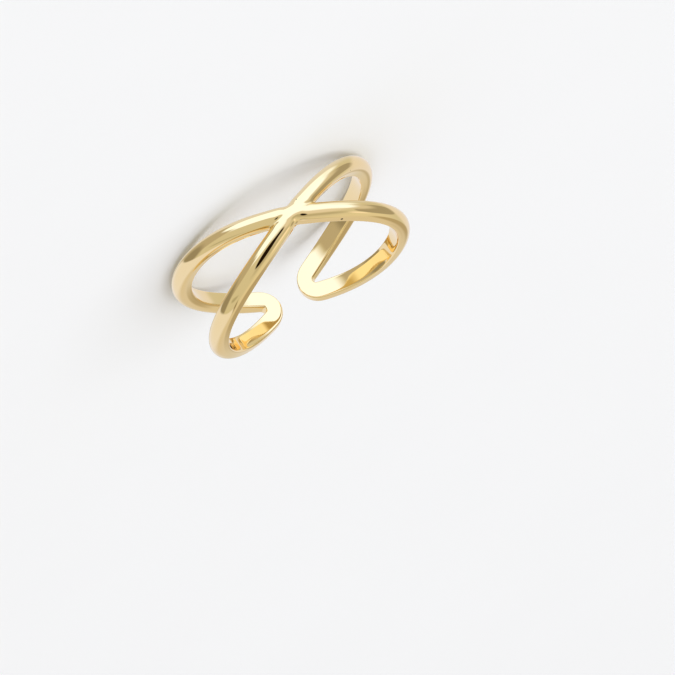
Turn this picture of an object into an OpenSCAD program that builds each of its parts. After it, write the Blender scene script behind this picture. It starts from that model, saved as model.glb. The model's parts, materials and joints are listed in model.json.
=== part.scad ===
// Adjustable crossover ring: two bands of D section cross at the front and meet again at the open back.
// The finger's axis is Z, the crossing faces -Y and the opening faces +Y.

/* [Finger] */
// Inner diameter of the ring
finger_d = 17; // [15:0.5:21]

/* [Band] */
// Width of each band, across its run
band_w = 1.55; // [1.3:0.05:2]
// Thickness of each band, from the finger to its crown
band_t = 1.47; // [1.2:0.01:1.8]
// Height of each band's middle above and below the ring's middle, at the sides
side_rise = 2.92; // [2.6:0.02:3.4]
// Share by which the bands run steeper at the crossing than a plain tilted hoop
steepness = 0.06; // [0:0.01:0.1]
// How much lower the second band's crown lies, so that one band passes over the other
crown_step = 0.02; // [0.02:0.01:0.06]

/* [Opening] */
// Width of the opening at the back
gap_w = 2.2; // [1.6:0.1:3]
// Radius of the round end in which each pair of arms meets
tip_r = 2; // [1.9:0.05:2.1]

/* [Hidden] */
fine = 96;
stations = 96;
crown_steps = 8;
finger_r = finger_d / 2;
wall_r = finger_r + band_t / 2;
reach = 4 * finger_d;
// The bands are swept from a little inside the finger's surface, and the finger's hole trims them
inset = 0.4;
// How far a round end's shoulder clears the bands' crowns
end_gap = 0.03;
// Angles from the back, to the end of a tip and to the middle of its round end
gap_angle = asin(gap_w / 2 / wall_r);
tip_angle = gap_angle + asin(tip_r / wall_r);
// Angle from the front at which a swept band stops, just inside the opening
end_angle = 180 - gap_angle / 2;

// D section as [across, out] points, with a flat foot and a half-round crown
crown_r = band_w / 2;
section = concat(
    [[crown_r, -inset]],
    [for (i = [0 : crown_steps])
        let (turn = 180 * i / crown_steps)
        [crown_r * cos(turn), band_t - crown_r + crown_r * sin(turn)]],
    [[-crown_r, -inset]]
);

// Height of a band's middle at an angle from the front
function height(a) = side_rise * (sin(a) + steepness * sin(3 * a)) / (1 - steepness);

// Angle at which the band climbs there
function climb(a) =
    atan(side_rise * (cos(a) + 3 * steepness * cos(3 * a)) / (1 - steepness) / wall_r);

// Place of a section point on the rising band, with the section square to the band's run
function band_point(a, across, out) =
    let (
        r = finger_r + out,
        round_angle = a - across * sin(climb(a)) / wall_r * 180 / PI
    )
    [r * sin(round_angle), -r * cos(round_angle), height(a) + across * cos(climb(a))];

// One band that rises to the right of the crossing and falls to its left
module rising_band(lowered) {
    n = len(section);
    points = [
        for (s = [0 : stations], p = section)
            let (a = end_angle * (2 * s / stations - 1))
            band_point(a, p[0], p[1] - (p[1] > 0 ? lowered : 0))
    ];
    skin = [
        for (s = [0 : stations - 1], i = [0 : n - 1])
            let (j = (i + 1) % n)
            [s * n + i, (s + 1) * n + i, (s + 1) * n + j, s * n + j]
    ];
    first_end = [for (i = [0 : n - 1]) i];
    last_end = [for (i = [n - 1 : -1 : 0]) stations * n + i];
    polyhedron(points, concat(skin, [first_end, last_end]), convexity = 6);
}

// Round solid that each pair of arms ends in: straight sides below a shoulder as round as the bands' crowns
module round_end() {
    shoulder = [tip_r - crown_r, finger_r + band_t - crown_r + end_gap];
    rotate_extrude($fn = fine)
        polygon(concat(
            [[0, 0], [tip_r, 0]],
            [for (i = [0 : crown_steps / 2])
                let (turn = 180 * i / crown_steps)
                shoulder + crown_r * [cos(turn), sin(turn)]],
            [shoulder + [0, band_t], [0, shoulder.y + band_t]]
        ));
}

// What is cut away at the back, less the round end that stays on each side
module opening_cut() {
    corner = reach * [sin(tip_angle), cos(tip_angle)];
    difference() {
        linear_extrude(reach, center = true)
            polygon([[0, 0], corner, [-corner.x, corner.y]]);
        for (side = [-1, 1])
            rotate(side * tip_angle)
                rotate([-90, 0, 0])
                    round_end();
    }
}

// The hole that the finger goes through
module finger_hole() {
    cylinder(r = finger_r, h = reach, center = true, $fn = fine);
}

module band() {
    color("gold")
        difference() {
            union() {
                rising_band(0);
                mirror([0, 0, 1])
                    rising_band(crown_step);
            }
            opening_cut();
            finger_hole();
        }
}

band();
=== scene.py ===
"""Adjustable crossover ring of polished gold plate, lying on its side on a pale studio floor.

Lengths in the code are in metres. X runs across the crossing, -Y is the crossing's side, and Z is the
axis of the hole. The band is modelled unrolled, with X along its run, and is rolled up at the end.
"""

import json
import math
from typing import NamedTuple

import bmesh
import bpy
from bpy.props import FloatProperty, FloatVectorProperty, PointerProperty
from mathutils import Matrix, Vector

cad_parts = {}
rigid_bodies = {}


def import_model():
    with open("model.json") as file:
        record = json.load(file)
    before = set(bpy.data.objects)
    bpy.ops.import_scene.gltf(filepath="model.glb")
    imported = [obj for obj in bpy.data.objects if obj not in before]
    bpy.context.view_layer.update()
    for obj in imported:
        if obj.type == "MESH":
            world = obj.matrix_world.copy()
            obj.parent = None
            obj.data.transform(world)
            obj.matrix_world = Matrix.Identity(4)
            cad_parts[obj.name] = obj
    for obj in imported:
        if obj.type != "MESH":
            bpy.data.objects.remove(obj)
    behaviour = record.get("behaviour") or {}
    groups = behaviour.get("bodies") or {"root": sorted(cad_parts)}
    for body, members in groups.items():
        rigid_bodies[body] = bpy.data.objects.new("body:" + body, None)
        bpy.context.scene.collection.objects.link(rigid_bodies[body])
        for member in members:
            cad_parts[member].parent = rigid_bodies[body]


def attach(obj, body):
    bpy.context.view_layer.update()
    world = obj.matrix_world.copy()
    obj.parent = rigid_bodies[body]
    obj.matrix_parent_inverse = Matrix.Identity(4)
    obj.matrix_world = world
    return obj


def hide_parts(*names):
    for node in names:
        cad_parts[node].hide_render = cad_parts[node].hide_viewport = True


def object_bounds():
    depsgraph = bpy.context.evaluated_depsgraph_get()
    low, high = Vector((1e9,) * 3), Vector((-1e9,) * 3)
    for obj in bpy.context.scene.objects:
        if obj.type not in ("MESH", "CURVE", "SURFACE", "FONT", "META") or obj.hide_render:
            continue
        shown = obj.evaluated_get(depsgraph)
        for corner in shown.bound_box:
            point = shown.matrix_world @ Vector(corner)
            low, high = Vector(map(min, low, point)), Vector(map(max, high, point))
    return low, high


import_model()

bl_info = {
    "name": "Crossover Ring",
    "version": (1, 0, 0),
    "blender": (4, 5, 0),
    "location": "View3D > Sidebar > Ring",
    "description": "Models an open crossover ring in polished gold plate and the studio it lies in",
    "category": "Object",
}

MM = 0.001
CAD_BOX = [list(corner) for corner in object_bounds()]


def length(name, description, value, low, high):
    """A size in metres, given and limited in millimetres."""
    return FloatProperty(
        name=name, description=description, default=value * MM, min=low * MM, max=high * MM,
        subtype="DISTANCE", unit="LENGTH", precision=5,
    )


def factor(name, description, value):
    return FloatProperty(
        name=name, description=description, default=value, min=0, max=1, subtype="FACTOR",
    )


def colour(name, description, value):
    return FloatVectorProperty(
        name=name, description=description, default=value, size=3, min=0, max=1, subtype="COLOR",
    )


class RingSizes(bpy.types.PropertyGroup):
    """Sizes of the band, as in the part's construction, and of its finish at the crossing."""

    hole_r: length("Hole radius", "Radius of the ring's hole", 8.5, 7, 11)
    band_w: length("Band width", "Width of each band, across its run", 1.55, 1.2, 2.2)
    band_t: length("Band thickness", "Height of a band's crown above its flat foot", 1.47, 1.1, 2)
    side_rise: length("Side rise", "Height of a band's middle at the ring's sides", 2.92, 2.4, 3.5)
    steepness: factor("Steepness", "How much steeper than a tilted hoop the bands cross", 0.06)
    opening: length("Opening", "Width of the opening at the back", 2.2, 1.5, 3.5)
    tip_r: length("Tip radius", "Radius of the round ends at the back", 2.0, 1.8, 2.3)
    window_round: length("Window rounding", "Radius of the windows' corners at the back", 0.25, 0.1, 0.4)
    inner_edge: length("Inner edge", "Rounding of the edges round the flat foot", 0.12, 0.05, 0.3)
    crossing_lift: length("Crossing lift", "How much fuller the crown is at the crossing", 0.22, 0, 0.4)
    crossing_spread: length("Crossing spread", "How far along the bands the lift reaches", 0.9, 0.6, 2)
    arm_dip: length("Arm dip", "How much thinner the arms are beside the crossing", 0.1, 0, 0.2)


class RingFinish(bpy.types.PropertyGroup):
    """Colour and polish of the gold plate."""

    gold: colour("Gold", "Colour of the plate seen straight on", (0.94, 0.735, 0.38))
    roughness: factor("Roughness", "Blur of the reflections in the polish", 0.03)
    ripple: factor("Ripple", "Strength of the polish's faint waviness", 0.05)


class StudioLook(bpy.types.PropertyGroup):
    """Colour of the floor and distance of the camera."""

    floor: colour("Floor", "Colour of the pale floor", (0.88, 0.89, 0.92))
    camera_distance: FloatProperty(
        name="Camera distance", description="From the camera to the ring", default=1.5,
        min=0.5, max=5, subtype="DISTANCE", unit="LENGTH",
    )


# Selecting and editing

# places that differ by less than this are the same but for rounding
HAIR = 1e-9
PLACE_DIGITS = 9


def deselect_all():
    if bpy.context.object and bpy.context.object.mode != "OBJECT":
        bpy.ops.object.mode_set(mode="OBJECT")
    bpy.ops.object.select_all(action="DESELECT")


def finish_modifiers(piece):
    """Applies the piece's modifiers in their order."""
    for modifier in list(piece.modifiers):
        bpy.ops.object.modifier_apply(modifier=modifier.name)


def edit_mesh(piece):
    mesh = bmesh.from_edit_mesh(piece.data)
    mesh.verts.ensure_lookup_table()
    return mesh


def place_of(point):
    return tuple(round(value, PLACE_DIGITS) for value in point.co)


# The band's run in the flat: x along the ring, z along the hole's axis, -y outwards

# the bands cross more steeply through a second wave, which turns this many times as fast
STEEPER_WAVE = 3


class Run:
    """Where the rising band runs when the ring is unrolled, with 0 at the crossing."""

    def __init__(self, sizes):
        self.sizes = sizes
        self.wall_r = sizes.hole_r + sizes.band_t / 2
        self.half_w = sizes.band_w / 2
        # where the rounded crown starts, above the foot
        self.shoulder = sizes.band_t - self.half_w
        tip_x = math.pi * self.wall_r - self.wall_r * math.asin(sizes.opening / 2 / self.wall_r)
        self.hub_x = tip_x - sizes.tip_r

    def height(self, x):
        s = self.sizes
        a = x / self.wall_r
        wave = math.sin(a) + s.steepness * math.sin(STEEPER_WAVE * a)
        return s.side_rise * wave / (1 - s.steepness)

    def climb(self, x):
        """Angle at which the band's middle climbs."""
        s = self.sizes
        a = x / self.wall_r
        wave = math.cos(a) + STEEPER_WAVE * s.steepness * math.cos(STEEPER_WAVE * a)
        rate = s.side_rise * wave / (1 - s.steepness)
        return math.atan(rate / self.wall_r)

    def edges(self, x, lean=0):
        """The band's two edges at x, on a line square to its run or leaning along it."""
        climb = self.climb(x)
        along = Vector((math.cos(climb), 0, math.sin(climb)))
        out = Vector((-math.sin(climb), 0, math.cos(climb)))
        middle = Vector((x, 0, self.height(x)))
        reach = self.half_w * (out - lean * along)
        return middle - reach, middle + reach


class Row:
    """One row of points round the band: its middle, its width, and how far its width is turned."""

    def __init__(self, inner, outer):
        across = outer - inner
        self.centre = (inner + outer) / 2
        self.width = across.length
        self.turn = math.atan2(-across.x, across.z)


SKEWED_ROWS = 8
STRAIGHT_ROWS = 34
TURN_ROWS = 6
SKEWED_STEP = 0.42 * MM
# the place where the tip's turn starts is guessed this many times, each time closer
GUESSES = 20


def arm_rows(run):
    """Rows from beside the crossing, where they lie along the other band, to the middle of a round end."""
    beta = run.climb(0)
    first = run.half_w / (2 * math.sin(beta))
    skew = 1 / math.tan(2 * beta)
    rows = []
    for k in range(SKEWED_ROWS):
        lean = skew * (1 - k / SKEWED_ROWS)
        rows.append(Row(*run.edges(first + k * SKEWED_STEP, lean)))
    start = first + SKEWED_ROWS * SKEWED_STEP
    # a square row here points at the hub of the round end
    end = run.hub_x
    for _ in range(GUESSES):
        end = run.hub_x - math.tan(run.climb(end)) * run.height(end)
    for k in range(STRAIGHT_ROWS):
        rows.append(Row(*run.edges(start + (end - start) * k / STRAIGHT_ROWS)))
    return rows + tip_rows(run, end)


def tip_rows(run, start):
    """Rows that turn round the end at the back, as far as the ring's middle plane."""
    s = run.sizes
    window_edge, outer_edge = run.edges(start)
    hub = Vector((run.hub_x, 0, 0))
    hub_reach = (hub - outer_edge).length
    out = (outer_edge - window_edge).normalized()
    full = math.atan2(out.z, out.x)
    # the window's corner is an arc that starts where the window's edge is tangent to it
    climb = run.climb(start)
    corner_x = window_edge.x - window_edge.z / math.tan(climb)
    window_hub = Vector((corner_x - s.window_round / math.sin(-climb), 0, 0))
    rows = []
    for k in range(TURN_ROWS + 1):
        angle = full * (1 - k / TURN_ROWS)
        ray = Vector((math.cos(angle), 0, math.sin(angle)))
        ease = math.sin(math.pi / 2 * k / TURN_ROWS) ** 2
        inner = window_hub + s.window_round * ray
        outer = hub + (hub_reach + (s.tip_r - hub_reach) * ease) * ray
        rows.append(Row(inner, outer))
    rows[-1].turn = -math.pi / 2
    return rows


CROWN_STEPS = 8
# a cage lies this much outside the round that it makes
CAGE_SWELL = 1 / (1 - (1 - math.cos(math.pi / CROWN_STEPS)) / 3)
# where the cage's points lie at the rounded inner edge, as shares of its rounding
EDGE_START = 0.25
EDGE_END = 1.2
# where a side's middle point lies, as a share of the shoulder's height, and how far it stands out
SIDE_MIDDLE = 0.6
SIDE_SWELL = 0.004 * MM
# the half width over this gives the points beside the foot's middle
FOOT_SHARE = 2.4
# the points of the section that meet the other arms at the crossing: one on the crown, one on the foot
TOP_CORNER = 4
FOOT_CORNER = -1


def section(run):
    """D section as (across, out) from the inner edge's foot, up its side, over the crown and back under."""
    half, shoulder, edge = run.half_w, run.shoulder, run.sizes.inner_edge
    crown = [
        (-half * CAGE_SWELL * math.cos(a), shoulder + half * CAGE_SWELL * math.sin(a))
        for a in (math.pi * k / CROWN_STEPS for k in range(CROWN_STEPS + 1))
    ]
    side = [
        (-half + EDGE_START * edge, EDGE_START * edge),
        (-half, EDGE_END * edge),
        (-half - SIDE_SWELL, SIDE_MIDDLE * shoulder),
    ]
    other_side = [(-across, out) for across, out in reversed(side)]
    foot_edge = half - EDGE_END * edge
    foot = [(across, 0) for across in (foot_edge, half / FOOT_SHARE, 0, -half / FOOT_SHARE, -foot_edge)]
    return side + crown + other_side + foot


def draw_section(run):
    """The first loop of points, at the origin, with its width along z."""
    points = section(run)
    bpy.ops.mesh.primitive_circle_add(
        vertices=len(points), radius=run.half_w, fill_type="NOTHING", rotation=(0, math.pi / 2, 0),
        location=(0, 0, 0), enter_editmode=False,
    )
    piece = bpy.context.object
    bpy.ops.object.transform_apply(location=True, rotation=True, scale=True)
    for vertex, (across, out) in zip(piece.data.vertices, points):
        vertex.co = (0, run.sizes.band_t / 2 - out, across)
    return piece


def place_row(was, now):
    """Carries the selected row from its old place to its new one."""
    bpy.ops.transform.rotate(value=-was.turn, orient_axis="Y", center_override=was.centre)
    bpy.ops.transform.resize(value=(1, 1, now.width / was.width), center_override=was.centre)
    bpy.ops.transform.rotate(value=now.turn, orient_axis="Y", center_override=was.centre)
    bpy.ops.transform.translate(value=now.centre - was.centre)


def extrude_arm(run, rows):
    """Extrudes the D section row by row along the arm."""
    start = Row(Vector((0, 0, -run.half_w)), Vector((0, 0, run.half_w)))
    bpy.ops.object.mode_set(mode="EDIT")
    bpy.ops.mesh.select_mode(type="VERT")
    bpy.ops.mesh.select_all(action="SELECT")
    place_row(start, rows[0])
    for was, now in zip(rows, rows[1:]):
        bpy.ops.mesh.extrude_edges_move()
        place_row(was, now)
    bpy.ops.object.mode_set(mode="OBJECT")


# how far metal fills the corners between two arms, outside the windows and in them
CROTCH_FILLET = -0.08 * MM
WINDOW_FILLET = 0.16 * MM


def join_at_crossing(piece, run):
    """Brings the first row's sides onto the ring's two middle planes, where they meet the other arms."""
    beta = run.climb(0)
    points = section(run)
    for vertex, (across, out) in zip(piece.data.vertices[:len(points)], points):
        corner = TOP_CORNER if out > run.shoulder + HAIR else FOOT_CORNER
        limit = abs(points[corner][0])
        # points as far out as the corner lie on the planes, and the others on the line between them
        reach = max(abs(across), limit)
        crotch = Vector((0, reach / math.cos(beta) + CROTCH_FILLET))
        window = Vector((reach / math.sin(beta) + WINDOW_FILLET, 0))
        share = min(1, max(0, (across + limit) / (2 * limit)))
        vertex.co.x, vertex.co.z = window.lerp(crotch, share)


def mirror_arm(piece):
    """Four arms from one, joined where they meet the ring's middle planes."""
    mirror = piece.modifiers.new("Four arms", "MIRROR")
    mirror.use_axis = (True, False, True)
    mirror.merge_threshold = 0.002 * MM
    finish_modifiers(piece)


# faces along the first side of each grid that closes the crossing
TOP_SPAN = 6
FOOT_SPAN = 4


def select_open_rim(piece, on_top):
    """Selects the open edges round the crossing's top or foot, and gives their places."""
    bpy.ops.mesh.select_all(action="DESELECT")
    bpy.ops.mesh.select_non_manifold(
        extend=False, use_wire=False, use_boundary=True, use_multi_face=False,
        use_non_contiguous=False, use_verts=False,
    )
    mesh = edit_mesh(piece)
    for edge in mesh.edges:
        middle = (edge.verts[0].co.y + edge.verts[1].co.y) / 2
        if edge.select and (middle < 0) != on_top:
            edge.select_set(False)
    for point in mesh.verts:
        if point.select and not any(edge.select for edge in point.link_edges):
            point.select_set(False)
    rim = [point for point in mesh.verts if point.select]
    mesh.select_history.clear()
    mesh.select_history.add(max(rim, key=lambda point: point.co.x))
    places = {place_of(point) for point in rim}
    bmesh.update_edit_mesh(piece.data)
    return places


def crown_height(run, across):
    """How high a band's crown stands over its foot, this far from the band's middle."""
    inside = max(0.0, run.half_w * run.half_w - across * across)
    return run.shoulder + CAGE_SWELL * math.sqrt(inside)


def raise_to_crowns(piece, run, rim):
    """Lifts the selected points inside the rim to the higher of the two crowns."""
    beta = run.climb(0)
    mesh = edit_mesh(piece)
    for point in mesh.verts:
        if point.select and place_of(point) not in rim:
            rising = point.co.z * math.cos(beta) - point.co.x * math.sin(beta)
            falling = point.co.z * math.cos(beta) + point.co.x * math.sin(beta)
            out = max(crown_height(run, rising), crown_height(run, falling))
            point.co.y = run.sizes.band_t / 2 - out
    bmesh.update_edit_mesh(piece.data)


def close_crossing(piece, run):
    """Fills the crossing's top and foot with grids, and lifts the top to the two crowns."""
    bpy.ops.object.mode_set(mode="EDIT")
    bpy.ops.mesh.select_mode(type="VERT")
    rim = select_open_rim(piece, on_top=True)
    bpy.ops.mesh.fill_grid(span=TOP_SPAN, offset=0)
    raise_to_crowns(piece, run, rim)
    select_open_rim(piece, on_top=False)
    bpy.ops.mesh.fill_grid(span=FOOT_SPAN, offset=0)
    bpy.ops.mesh.select_all(action="SELECT")
    bpy.ops.mesh.remove_doubles(threshold=0.001 * MM)
    bpy.ops.mesh.normals_make_consistent(inside=False)
    bpy.ops.object.mode_set(mode="OBJECT")


# the thinner stretch beside the crossing reaches this many times as far as the fuller one
DIP_REACH = 3


def fill_out_crossing(piece, run):
    """Lifts the crown where the bands run together and lowers it beside there, and leaves the foot."""
    s = run.sizes
    for vertex in piece.data.vertices:
        out = s.band_t / 2 - vertex.co.y
        away = vertex.co.x / s.crossing_spread
        fuller = s.crossing_lift * math.exp(-(away**2) / 2)
        thinner = s.arm_dip * math.exp(-((away / DIP_REACH) ** 2) / 2)
        vertex.co.y -= (fuller - thinner) * min(1, out / run.shoulder)


def smooth(piece, levels):
    rounder = piece.modifiers.new("Smooth", "SUBSURF")
    rounder.levels = rounder.render_levels = levels
    rounder.boundary_smooth = "PRESERVE_CORNERS"
    finish_modifiers(piece)


def roll_up(piece, run):
    """Rolls the flat band up round the hole."""
    xs = [vertex.co.x for vertex in piece.data.vertices]
    bend = piece.modifiers.new("Round the hole", "SIMPLE_DEFORM")
    bend.deform_method = "BEND"
    bend.deform_axis = "Z"
    bend.angle = (max(xs) - min(xs)) / run.wall_r
    finish_modifiers(piece)
    bpy.ops.transform.translate(value=(0, -run.wall_r, 0))
    bpy.ops.object.transform_apply(location=True, rotation=True, scale=True)


# Materials


class Nodes:
    """Short calls that add and join nodes in one tree."""

    def __init__(self, tree):
        self.tree = tree
        self.tree.nodes.clear()

    def add(self, kind, inputs=(), **settings):
        node = self.tree.nodes.new(kind)
        for name, value in settings.items():
            setattr(node, name, value)
        for key, value in dict(inputs).items():
            if isinstance(value, bpy.types.NodeSocket):
                self.tree.links.new(value, node.inputs[key])
            else:
                node.inputs[key].default_value = value
        return node

    def math(self, operation, *values):
        return self.add("ShaderNodeMath", enumerate(values), operation=operation).outputs["Value"]

    def mix(self, share, below, above):
        return self.add("ShaderNodeMix", {0: share, 6: below, 7: above}, data_type="RGBA").outputs[2]

    def noise(self, place, settings):
        return self.add("ShaderNodeTexNoise", {"Vector": place, **settings}).outputs["Fac"]


class Pit(NamedTuple):
    """A pinhole in the plate, with its place and radius in millimetres and the strength of the painted shade
    inside it, as a share of black.
    """

    place: tuple
    radius: float
    depth: float


# painted shade: the near-black colour laid into each pinhole in place of the shade inside it
PIT_SHADE_COLOUR = (0.03, 0.015, 0.003)
PITS = (
    Pit((-3.582, -8.192, 2.241), 0.12, 1.0),
    Pit((-7.012, -6.483, -1.694), 0.06, 0.5),
    Pit((-0.938, -9.838, -0.734), 0.07, 0.6),
    Pit((0.204, -9.912, 0.415), 0.07, 0.5),
)
# the painted shade at a pinhole's rim fades between these shares of its radius
PIT_RIM = (1.15, 0.75)
# the plate's colour drifts from its own towards these shares of it
DEEPER_GOLD = (0.985, 0.965, 0.92)
TONE = {"Scale": 180, "Detail": 3}
WIPING = {"Scale": 2600, "Detail": 4, "Roughness": 0.7}
WAVINESS = {"Scale": 420, "Detail": 2, "Roughness": 0.4}
# the wiping's values from first to last give the roughness these shares of its own
WIPING_RANGE = (0.3, 0.75)
WIPING_SHARES = (0.75, 1.5)
WAVE_HEIGHT = 0.02 * MM


def paint_pit_shade(n, place, plate, pit):
    """Paints shade inside one pinhole: darkens the plate there towards near-black."""
    centre = Vector(pit.place) * MM
    away = n.add("ShaderNodeVectorMath", {0: place, 1: centre}, operation="DISTANCE").outputs["Value"]
    inside = n.add("ShaderNodeMapRange", {
        "Value": away, "From Min": pit.radius * MM * PIT_RIM[0], "From Max": pit.radius * MM * PIT_RIM[1],
    }, interpolation_type="SMOOTHSTEP")
    shade = n.math("MULTIPLY", inside.outputs["Result"], pit.depth)
    return n.mix(shade, plate, (*PIT_SHADE_COLOUR, 1))


def gold_plate(finish):
    """Polished gold plate: a clear mirror with a faint waviness, fine wiping marks and painted shade in its
    pinholes.
    """
    material = bpy.data.materials.new("polished_gold_plate")
    material.use_nodes = True
    n = Nodes(material.node_tree)
    place = n.add("ShaderNodeTexCoord").outputs["Object"]
    gold = Vector(finish.gold)
    deeper = [value * share for value, share in zip(gold, DEEPER_GOLD)]
    plate = n.mix(n.noise(place, TONE), (*gold, 1), (*deeper, 1))
    # painted shade in the pinholes, laid over the plate's colour
    for pit in PITS:
        plate = paint_pit_shade(n, place, plate, pit)
    rough = n.add("ShaderNodeMapRange", {
        "Value": n.noise(place, WIPING), "From Min": WIPING_RANGE[0], "From Max": WIPING_RANGE[1],
        "To Min": finish.roughness * WIPING_SHARES[0], "To Max": finish.roughness * WIPING_SHARES[1],
    })
    bump = n.add("ShaderNodeBump", {
        "Height": n.noise(place, WAVINESS), "Strength": finish.ripple, "Distance": WAVE_HEIGHT,
    })
    shader = n.add("ShaderNodeBsdfPrincipled", {
        "Base Color": plate, "Metallic": 1.0, "Roughness": rough.outputs["Result"],
        "Normal": bump.outputs["Normal"],
    })
    n.add("ShaderNodeOutputMaterial", {"Surface": shader.outputs["BSDF"]})
    return material


class RING_OT_band(bpy.types.Operator):
    """Model the two crossing bands as one smooth piece, from the crossing to the round ends at the back"""

    bl_idname = "ring.band"
    bl_label = "Crossing bands"

    def execute(self, context):
        scene = context.scene
        run = Run(scene.ring_sizes)
        deselect_all()
        piece = draw_section(run)
        extrude_arm(run, arm_rows(run))
        join_at_crossing(piece, run)
        mirror_arm(piece)
        close_crossing(piece, run)
        fill_out_crossing(piece, run)
        smooth(piece, levels=2)
        roll_up(piece, run)
        bpy.ops.object.shade_smooth()
        piece.name = piece.data.name = "polished_band"
        piece.data.materials.append(gold_plate(scene.ring_finish))
        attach(piece, "root")
        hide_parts("band")
        return {"FINISHED"}


# The studio


def towards(azimuth, elevation):
    """Unit vector for an azimuth, from -Y towards +X, and an elevation, in degrees."""
    a, e = math.radians(azimuth), math.radians(elevation)
    return Vector((math.sin(a) * math.cos(e), -math.cos(a) * math.cos(e), math.sin(e)))


class Card(NamedTuple):
    """A softbox, sheet or flag round the ring, with its middle and half sizes in degrees."""

    name: str
    azimuth: float
    elevation: float
    wide: float
    high: float
    light: tuple
    tilt: float = 0
    # 2 makes an oval and more squares its corners
    corner: float = 2
    # share of its half size over which its edge fades
    fade: float = 0.3


ROOM = (0.7, 0.7, 0.64)
CARDS = (
    Card("table_glow", 0, -90, 48, 48, (0.82, 0.85, 1.0), fade=0.4),
    Card("back_ceiling", -140, 62, 45, 22, (0.8, 0.78, 0.69), fade=0.6),
    Card("dim_ceiling", -8, 64, 20, 14, (0.54, 0.52, 0.45), fade=0.6),
    Card("ceiling_glint", -86, 64, 12, 5, (1.05, 1.0, 1.0), fade=0.5),
    Card("ceiling_seam", 150, 62, 14, 3, (0.36, 0.31, 0.22), tilt=-28, fade=0.5),
    Card("left_flag", -90, 22, 28, 34, (0.425, 0.405, 0.36), corner=2.5, fade=0.07),
    Card("left_fill", -62, 6, 22, 26, (0.74, 0.73, 0.72), fade=0.4),
    Card("right_gap", 83, 36, 4, 16, (0.5, 0.49, 0.41), fade=0.5),
    Card("right_flag", 98, -39, 45, 37, (0.53, 0.5, 0.44), tilt=20, corner=3, fade=0.06),
    Card("right_flag_core", 109, -19, 25, 32, (0.34, 0.32, 0.27), fade=0.25),
    Card("softbox_wing", -54, -36, 26, 22, (1.1, 1.28, 1.7), fade=0.3),
    Card("softbox_low", -7, -41, 42, 30, (1.22, 1.45, 2.0), corner=3, fade=0.1),
    Card("softbox_high", -28, -8, 38, 27, (1.22, 1.45, 2.05), tilt=-14, corner=2.5, fade=0.2),
    Card("softbox_end", 16, -17, 28, 12, (1.2, 1.4, 2.0), fade=0.25),
    Card("right_sheet", 144, 8, 40, 52, (0.9, 0.92, 1.07), fade=0.05),
    Card("right_sheet_end", 180, 24, 17, 32, (0.75, 0.71, 0.65), fade=0.6),
    Card("left_sheet", -138, -6, 28, 28, (0.87, 0.86, 0.93), fade=0.2),
    Card("back_flag", -159, 31, 8, 20, (0.5, 0.44, 0.33), fade=0.35),
    Card("softbox_haze", -23, 27, 22, 18, (0.83, 0.81, 0.84), fade=0.6),
    Card("lens", 11.3, 34.2, 16.6, 23.4, (0.015, 0.008, 0.002), fade=0.13),
)


def add_card(n, direction, behind, card):
    """Lays one card over what is behind it, by how far each direction lies from the card's middle."""
    facing = towards(card.azimuth, card.elevation).to_track_quat("Z", "Y")
    turn = facing @ Matrix.Rotation(math.radians(card.tilt), 4, "Z").to_quaternion()
    seen = n.add("ShaderNodeMapping", {"Vector": direction, "Rotation": turn.inverted().to_euler()})
    seen.label = card.name
    axes = n.add("ShaderNodeSeparateXYZ", {"Vector": seen.outputs["Vector"]})
    across = n.math("ARCTAN2", axes.outputs["X"], axes.outputs["Z"])
    upward = n.math("ARCSINE", axes.outputs["Y"])
    parts = [
        n.math("POWER", n.math("ABSOLUTE", n.math("DIVIDE", angle, math.radians(half))), card.corner)
        for angle, half in ((across, card.wide), (upward, card.high))
    ]
    reach = n.math("POWER", n.math("ADD", *parts), 1 / card.corner)
    inside = n.add("ShaderNodeMapRange", {
        "Value": reach, "From Min": 1 + card.fade, "From Max": 1 - card.fade, "To Min": 0, "To Max": 1,
    }, interpolation_type="SMOOTHSTEP")
    return n.mix(inside.outputs["Result"], behind, (*card.light, 1))


def light_room(scene, floor_colour):
    """The light that comes from each side, as the cards stand round the ring."""
    world = bpy.data.worlds.new("studio_room")
    scene.world = world
    world.use_nodes = True
    n = Nodes(world.node_tree)
    direction = n.add("ShaderNodeTexCoord").outputs["Generated"]
    shade = (*ROOM, 1)
    for card in CARDS:
        shade = add_card(n, direction, shade, card)
    seen = n.add("ShaderNodeLightPath").outputs["Is Camera Ray"]
    backdrop = n.mix(seen, shade, (*floor_colour, 1))
    glow = n.add("ShaderNodeBackground", {"Color": backdrop, "Strength": 1.0})
    n.add("ShaderNodeOutputWorld", {"Surface": glow.outputs["Background"]})


FLOOR_SIZE = 8
MOTTLE = {"Scale": 60, "Detail": 3}
# the mottle's darker spots have this share of the paper's colour
MOTTLE_SHADE = 0.985


def pale_floor(look):
    """A wide pale floor under the ring, with the faint mottle of matt paper."""
    deselect_all()
    lowest = CAD_BOX[0][2]
    bpy.ops.mesh.primitive_plane_add(size=FLOOR_SIZE, location=(0, 0, lowest))
    floor = bpy.context.object
    floor.name = floor.data.name = "studio_floor"
    bpy.ops.object.transform_apply(location=True, rotation=True, scale=True)
    material = bpy.data.materials.new("matt_paper")
    material.use_nodes = True
    n = Nodes(material.node_tree)
    place = n.add("ShaderNodeTexCoord").outputs["Object"]
    base = Vector(look.floor)
    paper = n.mix(n.noise(place, MOTTLE), (*base, 1), (*(base * MOTTLE_SHADE), 1))
    shader = n.add("ShaderNodeBsdfPrincipled", {
        "Base Color": paper, "Roughness": 0.9, "Specular IOR Level": 0.1,
    })
    n.add("ShaderNodeOutputMaterial", {"Surface": shader.outputs["BSDF"]})
    floor.data.materials.append(material)
    floor.visible_glossy = False


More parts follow.
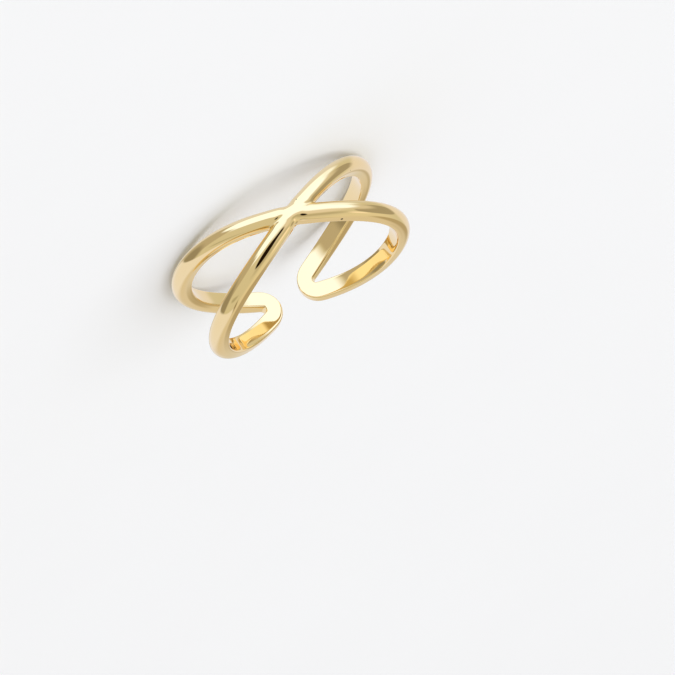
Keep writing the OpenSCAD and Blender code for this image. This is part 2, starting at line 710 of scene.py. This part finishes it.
CAMERA_AZIMUTH = 13.228
CAMERA_ELEVATION = 18.429
CAMERA_ROLL = -145.118
CAMERA_CLIP = (0.1, 20)
SENSOR_MM = 36
PHOTO_PIXELS = 675
PIXELS_PER_METRE = 11.829 / MM
# the pixel of the photograph where the hole's middle lies
ORIGIN_SEEN_AT = (290.77, 257.18)


def add_camera(scene, look):
    """A long lens at the photograph's angle: low over the crossing, a little from the right, and rolled."""
    back = towards(CAMERA_AZIMUTH, CAMERA_ELEVATION)
    upright = (Vector((0, 0, 1)) - back.z * back).normalized()
    side = upright.cross(back)
    roll = math.radians(CAMERA_ROLL)
    up = upright * math.cos(roll) + side * math.sin(roll)
    right = up.cross(back)
    rightward, downward = ((PHOTO_PIXELS / 2 - seen) / PIXELS_PER_METRE for seen in ORIGIN_SEEN_AT)
    aim = right * rightward - up * downward
    place = aim + back * look.camera_distance
    turned = Matrix((right, up, back)).transposed().to_4x4()
    bpy.ops.object.camera_add(location=place, rotation=turned.to_euler())
    camera = bpy.context.object
    camera.name = "studio_camera"
    camera.data.sensor_width = SENSOR_MM
    camera.data.lens = SENSOR_MM * look.camera_distance / (PHOTO_PIXELS / PIXELS_PER_METRE)
    camera.data.clip_start, camera.data.clip_end = CAMERA_CLIP
    scene.camera = camera


KEY_PLACE = (-0.5, -0.3, 1.2)
KEY_SIZE = 2.2
KEY_ENERGY = 13


def add_key_light():
    """A broad soft light over the floor, kept out of the polish."""
    place = Vector(KEY_PLACE)
    bpy.ops.object.light_add(type="AREA", location=place)
    key = bpy.context.object
    key.name = "soft_key"
    key.data.shape = "DISK"
    key.data.size = KEY_SIZE
    key.data.energy = KEY_ENERGY
    key.rotation_euler = place.to_track_quat("Z", "Y").to_euler()
    key.visible_glossy = False


class RING_OT_studio(bpy.types.Operator):
    """Lay out the pale floor, the soft light and the camera"""

    bl_idname = "ring.studio"
    bl_label = "Studio"

    def execute(self, context):
        scene = context.scene
        look = scene.ring_studio
        for item in list(bpy.data.objects):
            if item.type in {"LIGHT", "CAMERA"} or item.name == "Cube":
                bpy.data.objects.remove(item)
        pale_floor(look)
        light_room(scene, look.floor)
        add_key_light()
        add_camera(scene, look)
        scene.view_settings.view_transform = "Standard"
        scene.view_settings.look = "None"
        return {"FINISHED"}


class RING_PT_panel(bpy.types.Panel):
    """The ring's pieces and sizes, in the sidebar"""

    bl_label = "Crossover Ring"
    bl_idname = "RING_PT_panel"
    bl_space_type = "VIEW_3D"
    bl_region_type = "UI"
    bl_category = "Ring"

    def draw(self, context):
        scene = context.scene
        for group in (scene.ring_sizes, scene.ring_finish, scene.ring_studio):
            box = self.layout.box()
            for name in group.__annotations__:
                box.prop(group, name)
        for operator in (RING_OT_band, RING_OT_studio):
            self.layout.operator(operator.bl_idname)


CLASSES = (RingSizes, RingFinish, StudioLook, RING_OT_band, RING_OT_studio, RING_PT_panel)


def register():
    for item in CLASSES:
        bpy.utils.register_class(item)
    bpy.types.Scene.ring_sizes = PointerProperty(type=RingSizes)
    bpy.types.Scene.ring_finish = PointerProperty(type=RingFinish)
    bpy.types.Scene.ring_studio = PointerProperty(type=StudioLook)


def unregister():
    del bpy.types.Scene.ring_sizes, bpy.types.Scene.ring_finish, bpy.types.Scene.ring_studio
    for item in reversed(CLASSES):
        bpy.utils.unregister_class(item)


def main():
    register()
    bpy.ops.ring.studio()
    bpy.ops.ring.band()
    deselect_all()


if __name__ == "__main__":
    main()
